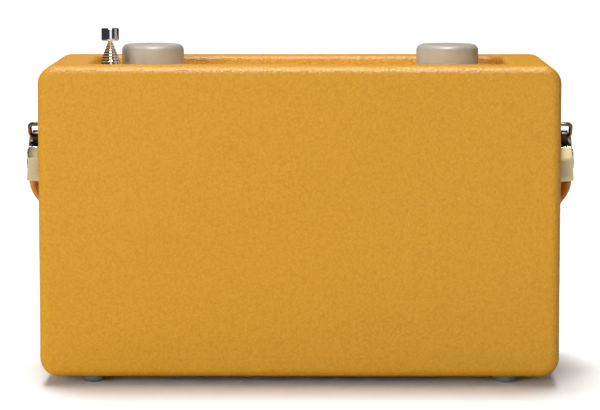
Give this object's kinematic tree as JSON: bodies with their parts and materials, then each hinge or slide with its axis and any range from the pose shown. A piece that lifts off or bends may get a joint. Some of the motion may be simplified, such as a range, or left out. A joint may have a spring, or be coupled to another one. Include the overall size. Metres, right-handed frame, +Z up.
{
  "type": "leather portable radio",
  "caption": "Box-shaped portable radio covered in yellow leather, with a recessed top for knobs and telescopic aerial and a swinging leather carrying strap.",
  "frame": {"origin": "on the table, midway between the four feet, under the middle of the case", "axes": "+X to the right of a person facing the front, +Y to the back, +Z up"},
  "size_m": [0.2748, 0.125, 0.1705],
  "materials": {
    "yellow_leather": "pebbled, satin",
    "strap_leather": "smooth, satin",
    "wood": "raw fibreboard",
    "grille_fabric": "woven",
    "gilt_metal": "polished and brushed",
    "gilt_plate": "brushed",
    "clear_window": "clear gloss",
    "display_body": "matt",
    "black_metal": "satin",
    "cone_paper": "matt",
    "magnet_iron": "matt",
    "component_metal": "satin",
    "steel": "satin",
    "taupe_plastic": "soft touch",
    "black_plastic": "fine texture",
    "circuit_board": "gloss",
    "chrome_metal": "polished",
    "cell_casing": "satin",
    "grey_rubber": "translucent, satin"
  },
  "bodies": {
    "case": {"aerial_bracket": "steel", "aerial_bush": "chrome_metal", "aerial_fixed_tube": "chrome_metal", "battery_cells": "cell_casing", "battery_contacts": "steel", "battery_tray": "black_plastic", "board_posts": "steel", "button_switches": "black_plastic", "cabinet_back": "wood", "cabinet_base": "wood", "cabinet_left_side": "wood", "cabinet_right_side": "wood", "cabinet_top": "wood", "charging_socket": "black_plastic", "control_board": "circuit_board", "control_nuts": "steel", "control_plate": "gilt_plate", "corner_blocks": "wood", "display_module": "display_body", "display_window": "clear_window", "feet": "grey_rubber", "front_baffle": "wood", "grille_cloth": "grille_fabric", "grille_frame": "gilt_metal", "headphone_socket": "black_plastic", "leather_cover": "yellow_leather", "left_handle_stud": "gilt_metal", "main_board": "circuit_board", "panel_screws": "steel", "right_handle_stud": "gilt_metal", "speaker_baskets": "black_metal", "speaker_cones": "cone_paper", "speaker_magnets": "magnet_iron", "stud_nuts": "steel", "tuning_control": "component_metal", "volume_control": "component_metal"},
    "volume_knob": {"volume_knob": "taupe_plastic", "volume_shaft": "steel"},
    "tuning_knob": {"tuning_knob": "taupe_plastic", "tuning_shaft": "steel"},
    "preset_button_1": {"preset_button_1": "taupe_plastic"},
    "preset_button_2": {"preset_button_2": "taupe_plastic"},
    "preset_button_3": {"preset_button_3": "taupe_plastic"},
    "preset_button_4": {"preset_button_4": "taupe_plastic"},
    "preset_button_5": {"preset_button_5": "taupe_plastic"},
    "aerial_section_1": {"aerial_section_1": "chrome_metal"},
    "aerial_section_2": {"aerial_section_2": "chrome_metal"},
    "aerial_section_3": {"aerial_section_3": "chrome_metal"},
    "aerial_section_4": {"aerial_section_4": "chrome_metal"},
    "aerial_section_5": {"aerial_section_5": "chrome_metal"},
    "aerial_section_6": {"aerial_section_6": "chrome_metal"},
    "aerial_section_7": {"aerial_section_7": "chrome_metal", "aerial_cap": "chrome_metal"},
    "strap_handle": {"carrying_strap": "strap_leather", "left_swivel_pin": "gilt_metal", "right_swivel_pin": "gilt_metal", "left_strap_sleeve": "gilt_metal", "right_strap_sleeve": "gilt_metal", "sleeve_rivets": "gilt_metal"},
    "battery_door": {"battery_door": "black_plastic"}
  },
  "joints": [
    {"name": "volume_turn", "type": "hinge", "parent": "case", "child": "volume_knob", "pos_m": [-0.0725, 0, 0.1515], "axis": [0, 0, -1], "range_deg": [0, 300]},
    {"name": "tuning_turn", "type": "hinge", "parent": "case", "child": "tuning_knob", "pos_m": [0.0725, 0, 0.1515], "axis": [0, 0, -1], "continuous": true},
    {"name": "preset_1_press", "type": "slide", "parent": "case", "child": "preset_button_1", "axis": [0, 0, -1], "range_m": [0, 0.0008], "stiffness_N_per_m": 400, "springref_m": -0.001},
    {"name": "preset_2_press", "type": "slide", "parent": "case", "child": "preset_button_2", "axis": [0, 0, -1], "range_m": [0, 0.0008], "stiffness_N_per_m": 400, "springref_m": -0.001},
    {"name": "preset_3_press", "type": "slide", "parent": "case", "child": "preset_button_3", "axis": [0, 0, -1], "range_m": [0, 0.0008], "stiffness_N_per_m": 400, "springref_m": -0.001},
    {"name": "preset_4_press", "type": "slide", "parent": "case", "child": "preset_button_4", "axis": [0, 0, -1], "range_m": [0, 0.0008], "stiffness_N_per_m": 400, "springref_m": -0.001},
    {"name": "preset_5_press", "type": "slide", "parent": "case", "child": "preset_button_5", "axis": [0, 0, -1], "range_m": [0, 0.0008], "stiffness_N_per_m": 400, "springref_m": -0.001},
    {"name": "aerial_slide_1", "type": "slide", "parent": "case", "child": "aerial_section_1", "axis": [0, 0, 1], "range_m": [0, 0.095]},
    {"name": "aerial_slide_2", "type": "slide", "parent": "aerial_section_1", "child": "aerial_section_2", "axis": [0, 0, 1], "range_m": [0, 0.095]},
    {"name": "aerial_slide_3", "type": "slide", "parent": "aerial_section_2", "child": "aerial_section_3", "axis": [0, 0, 1], "range_m": [0, 0.095]},
    {"name": "aerial_slide_4", "type": "slide", "parent": "aerial_section_3", "child": "aerial_section_4", "axis": [0, 0, 1], "range_m": [0, 0.095]},
    {"name": "aerial_slide_5", "type": "slide", "parent": "aerial_section_4", "child": "aerial_section_5", "axis": [0, 0, 1], "range_m": [0, 0.095]},
    {"name": "aerial_slide_6", "type": "slide", "parent": "aerial_section_5", "child": "aerial_section_6", "axis": [0, 0, 1], "range_m": [0, 0.095]},
    {"name": "aerial_slide_7", "type": "slide", "parent": "aerial_section_6", "child": "aerial_section_7", "axis": [0, 0, 1], "range_m": [0, 0.095]},
    {"name": "strap_swing", "type": "hinge", "parent": "case", "child": "strap_handle", "pos_m": [0, 0, 0.1221], "axis": [-1, 0, 0], "range_deg": [0, 277.6]},
    {"name": "battery_door_hinge", "type": "hinge", "parent": "case", "child": "battery_door", "pos_m": [0, 0.0336, 0.0057], "axis": [1, 0, 0], "range_deg": [0, 95]}
  ]
}
